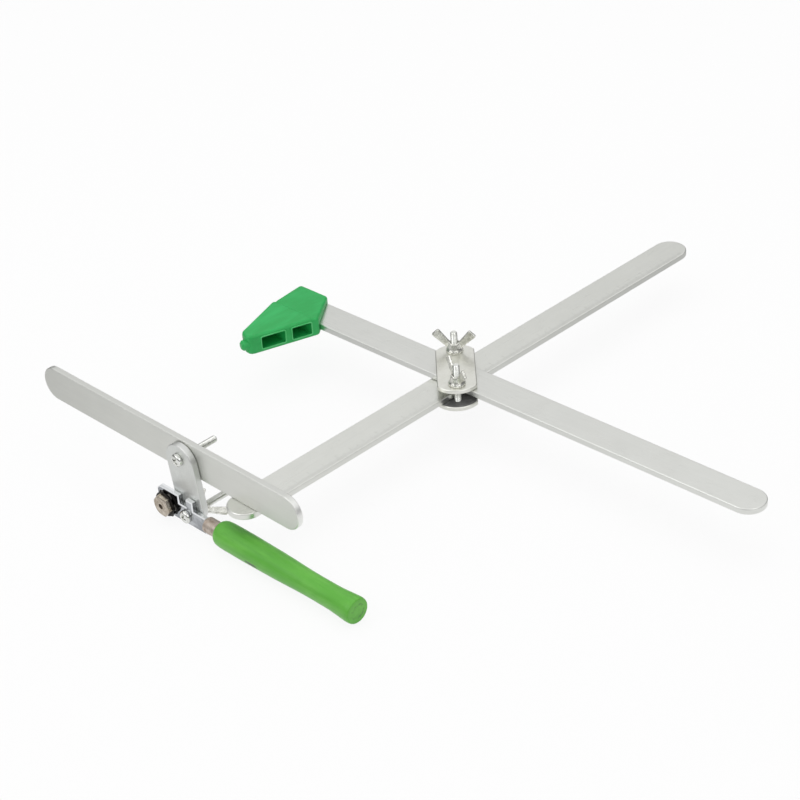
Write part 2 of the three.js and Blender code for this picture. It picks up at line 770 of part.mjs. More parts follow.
function swingLockNut() {
  const collar = turned([
    [0, lockNutHeight / 2],
    [lockNutCollarRadius, lockNutHeight / 2],
    [lockNutCollarRadius, lockNutHeight + lockNutCollarHeight - lockNutCollarBreak],
    [lockNutCollarRadius - lockNutCollarBreak, lockNutHeight + lockNutCollarHeight],
    [0, lockNutHeight + lockNutCollarHeight],
  ]);
  const body = join(hexBlock(lockNutAcrossFlats, lockNutHeight), collar);
  const bored = cut(body, rod(boltHoleRadius, -overrun, lockNutHeight + lockNutCollarHeight + overrun));
  return placed(
    piece("swing_lock_nut", laid(bored, turnedAlongX), finishes.zinc),
    barThickness - fenceDistance, swingPivotAlong, scaleArmTop + swingPivotHeight,
  );
}

function fenceScrewAt(y, i) {
  const screw = piece(`fence_screw_${i + 1}`, laid(fenceScrew(), turnedAlongZ), finishes.zinc);
  return placed(screw, fenceMiddle, y, scaleArmBase);
}

const cutter = new THREE.Group();
cutter.add(
  placed(scaleArm(), 0, 0, scaleArmBase),
  placed(fence(), -fenceDistance, 0, scaleArmTop + barWidth / 2),
  ...fenceScrewSides.map(fenceScrewAt),
  crossArmGroup(),
  clampGroup(),
  swingGroup(),
  swingBolt(),
  swingLockNut(),
);

export default cutter;
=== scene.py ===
import json
import math

import bmesh
import bpy
from mathutils import Matrix, Vector

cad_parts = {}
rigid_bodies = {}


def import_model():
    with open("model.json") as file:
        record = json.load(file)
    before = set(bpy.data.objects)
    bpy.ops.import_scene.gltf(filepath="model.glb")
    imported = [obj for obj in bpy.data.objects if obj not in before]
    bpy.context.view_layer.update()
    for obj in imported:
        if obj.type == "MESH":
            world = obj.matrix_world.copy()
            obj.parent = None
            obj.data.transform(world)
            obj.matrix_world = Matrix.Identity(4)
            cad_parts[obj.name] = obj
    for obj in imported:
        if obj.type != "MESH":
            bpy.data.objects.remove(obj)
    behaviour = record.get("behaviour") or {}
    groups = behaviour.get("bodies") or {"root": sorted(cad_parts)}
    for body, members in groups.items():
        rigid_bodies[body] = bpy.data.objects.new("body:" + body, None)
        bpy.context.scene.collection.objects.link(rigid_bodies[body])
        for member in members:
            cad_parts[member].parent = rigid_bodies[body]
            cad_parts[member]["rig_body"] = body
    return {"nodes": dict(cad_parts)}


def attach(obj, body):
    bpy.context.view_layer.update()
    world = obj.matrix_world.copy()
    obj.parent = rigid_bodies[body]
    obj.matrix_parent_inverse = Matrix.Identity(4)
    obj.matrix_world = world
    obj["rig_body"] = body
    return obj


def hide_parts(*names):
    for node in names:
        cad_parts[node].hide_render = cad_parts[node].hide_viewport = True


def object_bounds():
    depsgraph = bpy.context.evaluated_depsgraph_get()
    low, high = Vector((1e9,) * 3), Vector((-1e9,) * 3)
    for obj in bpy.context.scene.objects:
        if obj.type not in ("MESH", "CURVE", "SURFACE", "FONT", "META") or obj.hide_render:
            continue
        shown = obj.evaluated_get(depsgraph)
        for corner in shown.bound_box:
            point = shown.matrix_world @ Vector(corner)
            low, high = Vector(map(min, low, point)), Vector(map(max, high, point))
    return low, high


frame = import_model()
cadBox = [list(corner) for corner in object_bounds()]
mm = 0.001
scene = bpy.context.scene
nodes = frame["nodes"]
lowest = cadBox[0][2]
white = (1, 1, 1, 1)
crossArmTurn = 92.17  # degrees about Z, from the scale arm
print("frame loaded:", len(nodes), "solids")


def linked(name, data):  # a new object, put in the scene
    made = bpy.data.objects.new(name, data)
    scene.collection.objects.link(made)
    return made


# camera: the photograph's viewpoint, in the cutter's own frame and in metres
view = {
    "place": (-0.7588, -0.7785, 0.6953),
    "heading": 47.44,  # degrees from +X towards +Y
    "dip": 32.81,
    "roll": -4.33,
    "lens": 103.76,
    "reach": 20,
}


def addCamera():
    heading, dip, roll = (math.radians(view[key]) for key in ("heading", "dip", "roll"))
    flat = math.cos(dip)
    ahead = Vector((math.cos(heading) * flat, math.sin(heading) * flat, -math.sin(dip)))
    level = Vector((math.sin(heading), -math.cos(heading), 0))
    upright = level.cross(ahead)
    right = math.cos(roll) * level + math.sin(roll) * upright
    up = math.cos(roll) * upright - math.sin(roll) * level
    camera = linked("camera", bpy.data.cameras.new("camera"))
    camera.data.lens = view["lens"]
    camera.data.clip_end = view["reach"]
    turn = Matrix((right, up, -ahead)).transposed().to_4x4()
    camera.matrix_world = Matrix.Translation(view["place"]) @ turn
    scene.camera = camera


addCamera()
scene.view_settings.view_transform = "Standard"
print("camera placed")


# shader kit
# painted side light: how far a face looks towards -Y to take the painted end highlight, how square to
# X it must be to keep its own colour, and how much of the painted side colour the rest takes
sideLightPainting = {"near": (0.2, 0.8), "flat": (0.8, 0.96), "share": 0.8}


class Wire:  # a shader socket, so that shader maths reads as sums
    def __init__(self, finish, socket):
        self.finish = finish
        self.socket = socket

    def worked(self, operation, *terms):
        return self.finish.node("ShaderNodeMath", {"operation": operation}, dict(enumerate(terms)))

    def __add__(self, other):
        return self.worked("ADD", self, other)

    def __radd__(self, other):
        return self.worked("ADD", other, self)

    def __sub__(self, other):
        return self.worked("SUBTRACT", self, other)

    def __rsub__(self, other):
        return self.worked("SUBTRACT", other, self)

    def __mul__(self, other):
        return self.worked("MULTIPLY", self, other)

    def __pow__(self, other):
        return self.worked("POWER", self, other)

    def __abs__(self):
        return self.worked("ABSOLUTE", self)

    def ramped(self, low, high):  # 0 below low, 1 above high, smooth between
        span = {"Value": self, "From Min": low, "From Max": high}
        return self.finish.node("ShaderNodeMapRange", {"interpolation_type": "SMOOTHSTEP"}, span)

    def sine(self):
        return self.worked("SINE", self)

    def root(self):
        return self.worked("SQRT", self)


class Finish:  # a material and the nodes it is made of
    def __init__(self, name=None, tree=None):
        if tree is None:
            self.material = bpy.data.materials.new(name)
            self.material.use_nodes = True
            tree = self.material.node_tree
        self.tree = tree
        self.tree.nodes.clear()

    def node(self, kind, settings=None, inputs=None, out=0):
        made = self.tree.nodes.new(kind)
        for key, value in (settings or {}).items():
            setattr(made, key, value)
        for key, value in (inputs or {}).items():
            if isinstance(value, Wire):
                self.tree.links.new(value.socket, made.inputs[key])
            else:
                made.inputs[key].default_value = value
        return Wire(self, made.outputs[out]) if len(made.outputs) else None

    def places(self, turn=0):  # the piece's own coordinates in metres, turned about Z in degrees
        here = self.node("ShaderNodeTexCoord", out="Object")
        if not turn:
            return here
        spin = {"Vector": here, "Angle": -math.radians(turn)}
        return self.node("ShaderNodeVectorRotate", {"rotation_type": "Z_AXIS"}, spin)

    def facing(self, letter):  # how far the surface looks along one of the piece's own axes
        return self.part(self.node("ShaderNodeTexCoord", out="Normal"), letter)

    def stretched(self, places, x, y, z):
        return self.node("ShaderNodeVectorMath", {"operation": "MULTIPLY"}, {0: places, 1: (x, y, z)})

    def shifted(self, places, x, y, z):
        return self.node("ShaderNodeVectorMath", {"operation": "SUBTRACT"}, {0: places, 1: (x, y, z)})

    def length(self, places):
        return self.node("ShaderNodeVectorMath", {"operation": "LENGTH"}, {0: places}, out=1)

    def noise(self, places, scale, detail, roughness=0.5):
        inputs = {"Vector": places, "Scale": scale, "Detail": detail, "Roughness": roughness}
        return self.node("ShaderNodeTexNoise", None, inputs)

    def part(self, places, letter):
        return self.node("ShaderNodeSeparateXYZ", None, {0: places}, out=letter)

    def mixed(self, share, first, second):  # 6, 7 and 2 are the Mix node's colour sockets
        inputs = {0: share, 6: first, 7: second}
        return self.node("ShaderNodeMix", {"data_type": "RGBA"}, inputs, out=2)

    def bump(self, height, distance, strength):
        inputs = {"Height": height, "Distance": distance, "Strength": strength}
        return self.node("ShaderNodeBump", None, inputs)

    def paintedSideLight(self, colour, look):  # the look's painted side light on all that doesn't face along X: a set side colour, and the tip colour, a painted highlight, on what faces -Y
        if "edge" not in look:
            return colour
        # painted light: faces towards -Y take the tip colour as a painted highlight, other sides the
        # edge colour, by how they face the light
        near = (0 - self.facing("Y")).ramped(*sideLightPainting["near"])
        edge = self.mixed(near, look["edge"], look["tip"])
        turned = 1 - abs(self.facing("X")).ramped(*sideLightPainting["flat"])
        return self.mixed(turned * sideLightPainting["share"], colour, edge)

    def close(self, surface):
        skin = self.node("ShaderNodeBsdfPrincipled", None, surface)
        self.node("ShaderNodeOutputMaterial", None, {"Surface": skin})
        return self.material


def shade(red, green, blue):  # a colour as a photo's 0 to 255 values
    def linear(value):
        value /= 255
        return value / 12.92 if value <= 0.04045 else ((value + 0.055) / 1.055) ** 2.4

    return (linear(red), linear(green), linear(blue), 1)


# metal finishes
bars = {
    "scaleArm": {
        "light": shade(229, 230, 225), "dark": shade(219, 220, 215), "scratch": shade(240, 240, 236),
        "turn": 0, "rough": 0.2, "relief": 0.03 * mm,
    },
    "crossArm": {
        "light": shade(229, 230, 226), "dark": shade(219, 220, 216), "scratch": shade(240, 240, 236),
        "turn": crossArmTurn, "rough": 0.2, "relief": 0.03 * mm,
    },
    "fence": {
        "light": shade(225, 226, 221), "dark": shade(215, 216, 211), "scratch": shade(240, 240, 236),
        # painted light: edge is the fence's side colour, and tip a painted highlight on the end
        # facing -Y
        "edge": shade(224, 225, 221), "tip": shade(252, 252, 250),
        "turn": 90, "rough": 0.34, "relief": 0.03 * mm,
    },
}
scratches = {"turn": 24, "wide": 0.012}  # degrees off the grain, and width in noise values


def barMetal(name, look):
    f = Finish(name)
    here = f.places(look["turn"])
    grain = f.noise(f.stretched(here, 30, 1400, 1400), 1.0, 4, 0.6)
    cloud = f.noise(here, 55, 4, 0.6)
    pits = f.noise(here, 1600, 2)
    dulling = f.noise(f.stretched(here, 25, 160, 160), 1.0, 3)
    tone = (grain * 0.45 + cloud * 0.35 + dulling * 0.35).ramped(0.3, 0.85)
    colour = f.mixed(tone, look["dark"], look["light"])
    aslant = f.stretched(f.places(look["turn"] + scratches["turn"]), 60, 2200, 2200)
    thin = 1 - abs(f.noise(aslant, 1.0, 1) - 0.5).ramped(0.0, scratches["wide"])
    marks = thin * f.noise(here, 120, 2).ramped(0.52, 0.62)
    colour = f.mixed(marks * 0.35, colour, look["scratch"])
    return f.close({
        "Base Color": f.paintedSideLight(colour, look),
        "Metallic": 1.0,
        "Roughness": look["rough"] + grain * 0.12 + dulling * 0.08 - marks * 0.08,
        "Normal": f.bump(grain * 0.6 + pits * 0.25 - marks * 0.5, look["relief"], 0.5),
    })


plates = {
    "clamp": {
        "light": shade(240, 240, 234), "dark": shade(224, 224, 216), "stain": shade(218, 217, 210),
        "turn": 46, "rough": 0.25, "relief": 0.03 * mm,
    },
    "swing": {
        "light": shade(226, 228, 225), "dark": shade(212, 214, 211), "stain": shade(208, 209, 203),
        # painted light: edge is a set side colour, and tip a lighter painted side colour where the
        # sides face -Y
        "edge": shade(220, 221, 219), "tip": shade(222, 223, 221),
        "turn": 0, "rough": 0.36, "relief": 0.03 * mm,
    },
}


def plateMetal(name, look):
    f = Finish(name)
    here = f.places(look["turn"])
    cloud = f.noise(here, 160, 5, 0.65)
    crystals = f.noise(here, 900, 3, 0.7)
    grain = f.noise(f.stretched(here, 1500, 1500, 120), 1.0, 3)
    stain = f.noise(here, 45, 3).ramped(0.45, 0.75)
    tone = (cloud * 0.5 + crystals * 0.3 + grain * 0.2).ramped(0.3, 0.7)
    colour = f.mixed(stain * 0.25, f.mixed(tone, look["dark"], look["light"]), look["stain"])
    return f.close({
        "Base Color": f.paintedSideLight(colour, look),
        "Metallic": 1.0,
        "Roughness": look["rough"] + cloud * 0.1 + crystals * 0.05,
        "Normal": f.bump(crystals * 0.4 + grain * 0.4 + cloud, look["relief"], 0.4),
    })


boltLook = {
    "light": shade(238, 239, 236), "dark": shade(216, 217, 212), "rough": 0.1, "relief": 0.02 * mm,
}


def boltZinc():
    f = Finish("bolt_zinc")
    here = f.places()
    cloud = f.noise(here, 420, 4, 0.6)
    fine = f.noise(here, 2400, 2)
    return f.close({
        "Base Color": f.mixed(cloud.ramped(0.35, 0.7), boltLook["dark"], boltLook["light"]),
        "Metallic": 1.0,
        "Roughness": boltLook["rough"] + cloud * 0.08 + fine * 0.04,
        "Normal": f.bump(fine * 0.3 + cloud, boltLook["relief"], 0.3),
    })


castLook = {
    "light": shade(246, 246, 240), "dark": shade(192, 192, 184), "rough": 0.16, "relief": 0.15 * mm,
}


def castZinc():
    f = Finish("cast_zinc")
    here = f.places()
    cloud = f.noise(here, 300, 4, 0.6)
    sand = f.noise(here, 1500, 4, 0.65)
    mottle = (cloud * 0.6 + sand * 0.5).ramped(0.42, 0.68)
    return f.close({
        "Base Color": f.mixed(mottle, castLook["dark"], castLook["light"]),
        "Metallic": 1.0,
        "Roughness": castLook["rough"] + cloud * 0.14 + sand * 0.06,
        "Normal": f.bump(sand * 0.6 + cloud, castLook["relief"], 0.5),
    })


# light and dark are painted reflection streaks on the ground faces; the edge colour is a painted
# highlight, and the colour of the ends facing -Y a painted dark reflection
headLook = {
    "light": shade(186, 189, 192), "dark": shade(150, 153, 157),
    "polished": shade(236, 238, 240), "paintedDarkReflection": shade(70, 71, 74), "square": (0.9, 0.97),
    "rough": 0.06, "relief": 0.05 * mm,
}


def headChrome():  # ground flat faces with painted reflection streaks, a painted highlight on the edges and a painted dark reflection on the ends facing -Y
    f = Finish("head_chrome")
    here = f.places()
    smearsAndPaintedReflections = f.noise(f.stretched(here, 300, 90, 220), 1.0, 4, 0.6)
    cloud = f.noise(here, 150, 3)
    lines = f.noise(f.stretched(here, 2000, 120, 2600), 1.0, 3)
    # painted light by facing: faces not along X take the painted edge highlight, faces towards -Y the
    # painted dark reflection
    flat = abs(f.facing("X")).ramped(*headLook["square"])
    end = (0 - f.facing("Y")).ramped(*headLook["square"])
    # the smear noise paints reflection streaks into the colour, and puts real smears into roughness
    # and bump
    tone = (smearsAndPaintedReflections * 0.6 + cloud * 0.4).ramped(0.38, 0.6)
    groundWithPaintedReflections = f.mixed(tone, headLook["dark"], headLook["light"])
    colour = f.mixed(flat, headLook["polished"], groundWithPaintedReflections)
    return f.close({
        "Base Color": f.mixed(end * 0.75, colour, headLook["paintedDarkReflection"]),
        "Metallic": 1.0,
        "Roughness": headLook["rough"] + smearsAndPaintedReflections * 0.1 + lines * 0.04,
        "Normal": f.bump(smearsAndPaintedReflections * 0.7 + lines * 0.2, headLook["relief"], 0.4),
    })


# the darkest colour is painted shade: a dark spot at the screw's centre where its dimple is, with the
# spot's radius given after the rings
turretLook = {
    "light": shade(214, 205, 192), "dark": shade(160, 148, 132), "paintedRecessShade": shade(66, 56, 44),
    "axis": (0, 55.253 * mm, -12.495 * mm), "rings": 9000, "dimple": 1.66 * mm, "floorShare": 0.9,
    "rough": 0.2, "relief": 0.03 * mm,
}


def turretBronze():
    look = turretLook
    f = Finish("turret_bronze")
    here = f.shifted(f.places(), *look["axis"])
    away = (f.part(here, "Y") ** 2 + f.part(here, "Z") ** 2).root()
    ring = (away * look["rings"]).sine() * 0.5 + 0.5
    cloud = f.noise(here, 380, 4, 0.6)
    fine = f.noise(here, 2000, 2)
    tone = (cloud * 0.75 + ring * 0.1 + fine * 0.15).ramped(0.35, 0.65)
    # painted shade: a dark spot at the centre, where the dimple is
    dimple = 1 - away.ramped(look["dimple"] * look["floorShare"], look["dimple"])
    colour = f.mixed(tone, look["dark"], look["light"])
    return f.close({
        "Base Color": f.mixed(dimple * 0.85, colour, look["paintedRecessShade"]),
        "Metallic": 1.0,
        "Roughness": look["rough"] + cloud * 0.14 + ring * 0.04 + dimple * 0.2,
        "Normal": f.bump(ring * 0.4 + cloud, look["relief"], 0.5),
    })


carrierLook = {
    "worn": shade(96, 92, 86), "dark": shade(30, 28, 26), "rough": 0.3, "relief": 0.04 * mm,
}


def carrierBlack():
    f = Finish("carrier_black")
    here = f.places()
    cloud = f.noise(here, 500, 4)
    worn = f.noise(here, 260, 5, 0.7).ramped(0.6, 0.72)
    return f.close({
        "Base Color": f.mixed(worn * 0.5, carrierLook["dark"], carrierLook["worn"]),
        "Metallic": 0.7,
        "Roughness": carrierLook["rough"] + cloud * 0.25 - worn * 0.08,
        "Normal": f.bump(cloud, carrierLook["relief"], 0.5),
    })


wheelLook = {
    "light": shade(92, 90, 86), "dark": shade(52, 50, 47), "rough": 0.24, "relief": 0.02 * mm,
}


def wheelSteel():
    f = Finish("wheel_steel")
    fine = f.noise(f.stretched(f.places(), 4000, 900, 900), 1.0, 3)
    return f.close({
        "Base Color": f.mixed(fine, wheelLook["dark"], wheelLook["light"]),
        "Metallic": 1.0,
        "Roughness": wheelLook["rough"] + fine * 0.2,
        "Normal": f.bump(fine, wheelLook["relief"], 0.4),
    })


ferruleLook = {
    "light": shade(204, 194, 184), "dark": shade(172, 156, 142), "dirt": shade(120, 104, 92),
    "rough": 0.3, "relief": 0.06 * mm,
}


def ferruleMetal():
    f = Finish("ferrule_metal")
    here = f.places()
    turned = f.noise(f.stretched(here, 60, 2600, 60), 1.0, 3)
    cloud = f.noise(here, 260, 4, 0.6)
    dirt = f.noise(here, 420, 5, 0.7).ramped(0.5, 0.7)
    tone = (turned * 0.4 + cloud * 0.6).ramped(0.35, 0.65)
    colour = f.mixed(tone, ferruleLook["dark"], ferruleLook["light"])
    return f.close({
        "Base Color": f.mixed(dirt * 0.45, colour, ferruleLook["dirt"]),
        "Metallic": 0.9,
        "Roughness": ferruleLook["rough"] + cloud * 0.2 + dirt * 0.15,
        "Normal": f.bump(turned * 0.5 + cloud, ferruleLook["relief"], 0.5),
    })


# wood, plastic, rubber and ink finishes
handleLook = {
    "light": shade(100, 182, 60), "body": shade(84, 170, 44), "dark": shade(60, 138, 30),
    "pores": shade(46, 100, 26), "smudged": shade(50, 96, 38), "rubbed": shade(176, 200, 160),
    "chipped": shade(38, 44, 28),
    "axis": (-165.05 * mm, 0, -14.095 * mm), "end": -88.6 * mm, "endStep": 0.3 * mm,
    "smudge": 3.9 * mm, "smudgeWide": 1.1 * mm,
    "chip": (-172.3 * mm, -16.5 * mm, -16.2 * mm), "chipSlim": 0.24,
    "chipSpan": (0.8 * mm, 1.3 * mm), "chipRagged": 1.4 * mm,
    "rough": 0.42, "coat": 0.22, "coatRough": 0.25, "relief": 0.12 * mm,
}


def handleGreen():
    look = handleLook
    f = Finish("handle_green")
    here = f.places()
    wood = f.noise(f.stretched(here, 420, 26, 420), 1.0, 5, 0.6)
    pores = f.noise(f.stretched(here, 1500, 120, 1500), 1.0, 3).ramped(0.6, 0.75)
    cloud = f.noise(f.stretched(here, 90, 40, 90), 1.0, 4, 0.6)
    rubbed = f.noise(here, 260, 4, 0.65)
    colour = f.mixed(cloud.ramped(0.35, 0.7), look["body"], look["light"])
    colour = f.mixed(wood.ramped(0.45, 0.75) * 0.3, colour, look["dark"])
    colour = f.mixed(pores * 0.18, colour, look["pores"])
    middle = f.shifted(here, *look["axis"])
    away = (f.part(middle, "X") ** 2 + f.part(middle, "Z") ** 2).root()
    onEnd = 1 - f.part(here, "Y").ramped(look["end"] - look["endStep"], look["end"])
    ring = (1 - abs(away - look["smudge"]).ramped(0.0, look["smudgeWide"])) * onEnd
    colour = f.mixed(ring * rubbed.ramped(0.48, 0.56) * 0.7, colour, look["smudged"])
    colour = f.mixed(ring * rubbed.ramped(0.6, 0.7) * 0.6, colour, look["rubbed"])
    near = f.length(f.stretched(f.shifted(here, *look["chip"]), 1, look["chipSlim"], 1))
    chip = 1 - (near + (rubbed - 0.5) * look["chipRagged"]).ramped(*look["chipSpan"])
    return f.close({
        "Base Color": f.mixed(chip * 0.9, colour, look["chipped"]),
        "Roughness": look["rough"] + cloud * 0.12 + pores * 0.1,
        "Coat Weight": look["coat"] + cloud * 0.14,
        "Coat Roughness": look["coatRough"],
        "Normal": f.bump(wood * 0.6 - pores * 0.5 + cloud - chip * 2, look["relief"], 0.5),
    })


shoeLooks = {
    "body": {
        "light": shade(40, 178, 92), "dark": shade(24, 163, 76), "scuff": shade(150, 214, 170),
        "rough": 0.34, "relief": 0.06 * mm,
    },
    # the rim look is a lighter green, a painted highlight where the raised rims catch the light
    "paintedHighlightRim": {
        "light": shade(86, 198, 120), "dark": shade(60, 182, 98), "scuff": shade(150, 214, 170),
        "rough": 0.34, "relief": 0.06 * mm,
    },
}


def shoeGreen(name, look):
    f = Finish(name)
    here = f.places()
    flow = f.noise(f.stretched(here, 30, 130, 90), 1.0, 4, 0.6)
    skin = f.noise(here, 2200, 3, 0.6)
    scuff = f.noise(here, 340, 5, 0.7).ramped(0.62, 0.74)
    colour = f.mixed(flow.ramped(0.35, 0.7), look["dark"], look["light"])
    return f.close({
        "Base Color": f.mixed(scuff * 0.14, colour, look["scuff"]),
        "Roughness": look["rough"] + flow * 0.1 + scuff * 0.12,
        "Normal": f.bump(skin * 0.6 + flow * 1.2, look["relief"], 0.5),
    })


padLook = {
    "light": shade(124, 124, 123), "dark": shade(92, 92, 92), "rough": 0.62, "relief": 0.08 * mm,
}


def padRubber():
    f = Finish("pad_rubber")
    here = f.places()
    cloud = f.noise(here, 240, 5, 0.65)
    fine = f.noise(here, 1900, 3)
    return f.close({
        "Base Color": f.mixed(cloud.ramped(0.35, 0.7), padLook["dark"], padLook["light"]),
        "Roughness": padLook["rough"] + cloud * 0.2,
        "Normal": f.bump(fine + cloud, padLook["relief"], 0.6),
    })


inkLook = {"light": shade(206, 207, 203), "dark": shade(176, 177, 173), "rough": 0.5}


def scaleInk():
    f = Finish("scale_ink")
    wear = f.noise(f.places(), 260, 4, 0.6)
    return f.close({
        "Base Color": f.mixed(wear.ramped(0.4, 0.7), inkLook["dark"], inkLook["light"]),
        "Metallic": 0.8,
        "Roughness": inkLook["rough"] + wear * 0.1,
    })


finishes = {
    "scaleArm": barMetal("scale_arm_metal", bars["scaleArm"]),
    "crossArm": barMetal("cross_arm_metal", bars["crossArm"]),
    "fence": barMetal("fence_metal", bars["fence"]),
    "clampPlate": plateMetal("clamp_plate_metal", plates["clamp"]),
    "swingPlate": plateMetal("swing_plate_metal", plates["swing"]),
    "bolt": boltZinc(),
    "wingNut": castZinc(),
    "head": headChrome(),
    "turretScrew": turretBronze(),
    "carrier": carrierBlack(),
    "wheel": wheelSteel(),
    "pad": padRubber(),
    "ferrule": ferruleMetal(),
    "handle": handleGreen(),
    "shoe": shoeGreen("shoe_green", shoeLooks["body"]),
    # the rims' lighter green is a painted highlight
    "paintedHighlightRim": shoeGreen("shoe_rim_painted_highlight_green", shoeLooks["paintedHighlightRim"]),
    "ink": scaleInk(),
}
print("finishes made:", len(finishes))


# making pieces: corners nearer than join are one, and angles are in degrees
easing = {"join": 0.002 * mm, "flat": 0.4, "sharp": 32, "weight": 80}


def addPiece(name, mesh, finish, body):
    piece = linked(name, mesh)
    mesh.materials.clear()
    mesh.materials.append(finish)
    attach(piece, body)
    return piece


def workedMesh(piece):  # a new mesh of the piece with its modifiers worked in
    graph = bpy.context.evaluated_depsgraph_get()
    return bpy.data.meshes.new_from_object(piece.evaluated_get(graph))


def applyModifiers(piece):
    mesh = workedMesh(piece)
    piece.modifiers.clear()
    old, piece.data = piece.data, mesh
    bpy.data.meshes.remove(old)


def nodeForm(nodeName):  # a solid's mesh with its corners joined, to work on
    form = bmesh.new()
    form.from_mesh(nodes[nodeName].data)
    bmesh.ops.remove_doubles(form, verts=form.verts, dist=easing["join"])
    return form


def meshFrom(name, form):
    mesh = bpy.data.meshes.new(name)
    form.to_mesh(mesh)
    form.free()
    return mesh


def smoothed(mesh, angle):
    mesh.shade_smooth()
    mesh.set_sharp_from_angle(angle=math.radians(angle))


def nodeBody(nodeName):
    return nodes[nodeName]["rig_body"]


def eased(nodeName, finish, edge, steps):  # a solid with whole flat faces and eased edges
    form = nodeForm(nodeName)
    bmesh.ops.dissolve_limit(
        form, angle_limit=math.radians(easing["flat"]), verts=form.verts, edges=form.edges,
    )
    mesh = meshFrom(nodeName + "_form", form)
    piece = addPiece(nodeName + "_eased", mesh, finish, nodeBody(nodeName))
    smoothed(mesh, easing["sharp"])
    bevel = piece.modifiers.new("ease", "BEVEL")
    bevel.width = edge * mm
    bevel.segments = steps
    bevel.limit_method = "ANGLE"
    bevel.angle_limit = math.radians(easing["sharp"])
    bevel.miter_outer = "MITER_ARC"
    weigh = piece.modifiers.new("weigh", "WEIGHTED_NORMAL")
    weigh.keep_sharp = True
    weigh.weight = easing["weight"]
    applyModifiers(piece)
    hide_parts(nodeName)


easedPieces = {  # finish, slot, edge in mm, steps round the edge
    "scale_arm": ("scaleArm", "arm_metal", 0.15, 2),
    "cross_arm": ("crossArm", "arm_metal", 0.15, 2),
    "fence": ("fence", "fence_metal", 0.15, 2),
    "clamp_bottom_plate": ("clampPlate", "plate_metal", 0.2, 3),
    "clamp_top_plate": ("clampPlate", "plate_metal", 0.2, 3),
    "swing_plate": ("swingPlate", "plate_metal", 0.2, 3),
    "fence_screw_1": ("bolt", "bolt_zinc", 0.06, 3),
    "fence_screw_2": ("bolt", "bolt_zinc", 0.06, 3),
    "swing_lock_nut": ("bolt", "bolt_zinc", 0.1, 3),
    "clamp_pad": ("pad", "pad_rubber", 0.1, 3),
    "cutter_head": ("head", "head_chrome", 0.26, 3),
    "turret_screw": ("turretScrew", "turret_bronze", 0.2, 3),
    "turret_carrier": ("carrier", "carrier_black", 0.06, 3),
    "ferrule": ("ferrule", "ferrule_metal", 0.12, 3),
    "handle": ("handle", "handle_green", 0.4, 3),
    "tip_shoe": ("shoe", "shoe_green", 0.22, 3),
}
wheelCount = 6
for i in range(wheelCount):
    easedPieces[f"scoring_wheel_{i + 1}"] = ("wheel", "wheel_steel", 0.03, 3)
for nodeName, (finish, slot, edge, steps) in easedPieces.items():
    eased(nodeName, finishes[finish], edge, steps)
print("solids eased and finished")


# raised rims round the shoe's pockets, in the cross arm's own directions and in mm
rims = {
    "wallFrom": (96.0, 11.8), "wallTo": (112.1, 53.2), "low": 7.2, "high": 15.3,
    "pockets": ((15.8, 27.6), (31.2, 45.5)), "corner": 1.0, "cornerSteps": 4,
    "thick": 0.42, "thickSteps": 3, "proud": 0.12,
}


def rimPoints(near, far):  # round one pocket, with round corners, on the leaning wall
    (x0, y0), (x1, y1) = rims["wallFrom"], rims["wallTo"]
    slope = (x1 - x0) / (y1 - y0)
    outward = Vector((-1, slope, 0)) / math.hypot(1, slope) * rims["proud"]
    turn = Matrix.Rotation(math.radians(crossArmTurn), 4, "Z")
    low, high, r = rims["low"], rims["high"], rims["corner"]
    points = []
    for y, z, start in ((far, high, 0), (near, high, 90), (near, low, 180), (far, low, 270)):
        side, level = (1 if y == far else -1), (1 if z == high else -1)
        for step in range(rims["cornerSteps"] + 1):
            angle = math.radians(start + 90 / rims["cornerSteps"] * step)
            along = y - side * r + r * math.cos(angle)
            rise = z - level * r + r * math.sin(angle)
            place = Vector((x0 + slope * (along - y0), along, rise)) + outward
            points.append(turn @ (place * mm))
    return points


def addRims():
    curve = bpy.data.curves.new("pocket_rims", "CURVE")
    curve.dimensions = "3D"
    curve.bevel_depth = rims["thick"] * mm
    curve.bevel_resolution = rims["thickSteps"]
    for near, far in rims["pockets"]:
        points = rimPoints(near, far)
        line = curve.splines.new("POLY")
        line.points.add(len(points) - 1)
        for point, place in zip(line.points, points):
            point.co = (*place, 1)
        line.use_cyclic_u = True
    shape = linked("pocket_rims", curve)
    mesh = workedMesh(shape)
    bpy.data.objects.remove(shape)
    mesh.shade_smooth()
    # the rims take the lighter green, a painted highlight
    addPiece("pocket_rims", mesh, finishes["paintedHighlightRim"], "cross_arm")


addRims()
print("shoe rims added")


def stood(place, axis):  # takes a form that stands on Z to its place in mm and its axis
    turn = Vector((0, 0, 1)).rotation_difference(Vector(axis)).to_matrix().to_4x4()
    return Matrix.Translation(Vector(place) * mm) @ turn


# cast wing nuts, in mm
cast = {
    "grid": 0.26, "passes": 6, "soften": 0.5,
    "flutes": 16, "fluteRadius": 0.42, "fluteReach": 4.62, "fluteSteps": 10,
    "foot": 0.02, "skirt": 1.25,
}
wingNuts = {  # base and axis
    "clamp_wing_nut_front": ((-12.065, -12.531, 13.7), (0, 0, 1)),
    "clamp_wing_nut_rear": ((12.065, 12.531, 13.7), (0, 0, 1)),
    "cutter_wing_nut": ((-159.2, 40.753, -15.095), (1, 0, 0)),
}


def fluteInto(form, angle, stand):
    radius, reach = cast["fluteRadius"] * mm, cast["fluteReach"] * mm
    low, high = cast["foot"] * mm, cast["skirt"] * mm
    made = bmesh.ops.create_cone(
        form, cap_ends=True, segments=cast["fluteSteps"], radius1=radius, radius2=radius,
        depth=high - low,
    )
    place = (reach * math.cos(angle), reach * math.sin(angle), (low + high) / 2)
    bmesh.ops.transform(form, matrix=stand @ Matrix.Translation(place), verts=made["verts"])


